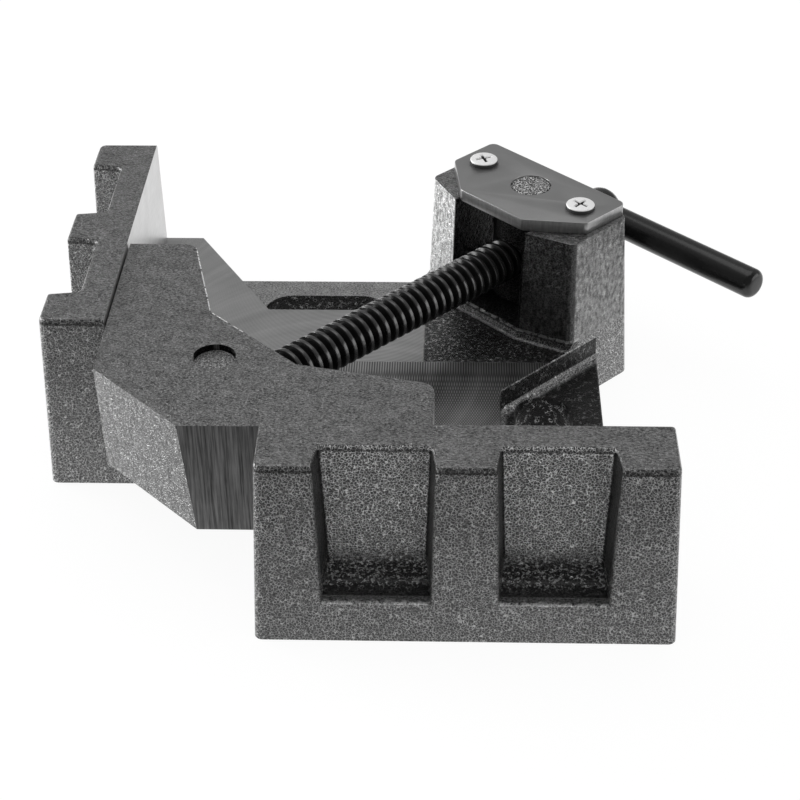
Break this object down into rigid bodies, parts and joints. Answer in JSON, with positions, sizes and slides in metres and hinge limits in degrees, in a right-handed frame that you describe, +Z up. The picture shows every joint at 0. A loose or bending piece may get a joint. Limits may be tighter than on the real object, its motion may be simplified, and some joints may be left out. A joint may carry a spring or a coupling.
{
  "type": "corner clamp",
  "caption": "Right-angle corner clamp with fixed jaws, a pivoting jaw driven by a swivelling screw, a sliding handle bar and slotted mounting lugs.",
  "frame": {"origin": "where the two fixed clamping faces would meet, on the underside of the casting", "axes": "+X along the front fixed jaw, +Y along the left fixed jaw, +Z up; the screw lies over the diagonal X = Y"},
  "size_m": [0.2075, 0.1891, 0.0606],
  "materials": {
    "hammer_paint": "grey hammer paint on castings, milled where the work sits",
    "plate_steel": "dark satin plate with brighter sheared edges",
    "zinc_plate": "bright zinc plate",
    "turned_steel": "turned steel, dulled",
    "black_oxide": "black oxide with an oil film",
    "spring_steel": "phosphated spring steel"
  },
  "bodies": {
    "clamp_body": {"body_casting": "hammer_paint", "cover_plate": "plate_steel", "cover_screws": "zinc_plate"},
    "nut": {"swivel_nut": "turned_steel"},
    "pivot_pin": {"jaw_pivot_pin": "turned_steel"},
    "jaw": {"moving_jaw": "hammer_paint"},
    "screw": {"lead_screw": "black_oxide", "thrust_washer": "turned_steel", "pull_washer": "turned_steel", "retaining_ring": "spring_steel"},
    "handle_bar": {"tommy_bar": "black_oxide"}
  },
  "joints": [
    {"name": "nut_swivel", "type": "hinge", "parent": "clamp_body", "child": "nut", "pos_m": [0.11795, 0.11795, 0.0367], "axis": [0, 0, 1], "range_deg": [0, 5.5]},
    {"name": "jaw_travel", "type": "slide", "parent": "nut", "child": "pivot_pin", "axis": [0.7071, 0.7071, 0], "range_m": [0, 0.08]},
    {"name": "jaw_swivel", "type": "hinge", "parent": "pivot_pin", "child": "jaw", "pos_m": [0.0318, 0.0318, 0.0367], "axis": [0, 0, 1], "range_deg": [-5.5, 0]},
    {"name": "screw_turn", "type": "hinge", "parent": "pivot_pin", "child": "screw", "pos_m": [0.0318, 0.0318, 0.0367], "axis": [0.7071, 0.7071, 0], "range_deg": [0, 9070.87]},
    {"name": "bar_slide", "type": "slide", "parent": "screw", "child": "handle_bar", "axis": [0.7071, -0.7071, 0], "range_m": [-0.0545, 0.0285]}
  ],
  "couplings": [
    {"joint": "screw_turn", "follows": "jaw_travel", "rad_per_m": 1979},
    {"joint": "nut_swivel", "follows": "jaw_travel", "rad_per_m": 1.1999},
    {"joint": "jaw_swivel", "follows": "jaw_travel", "rad_per_m": -1.1999}
  ]
}
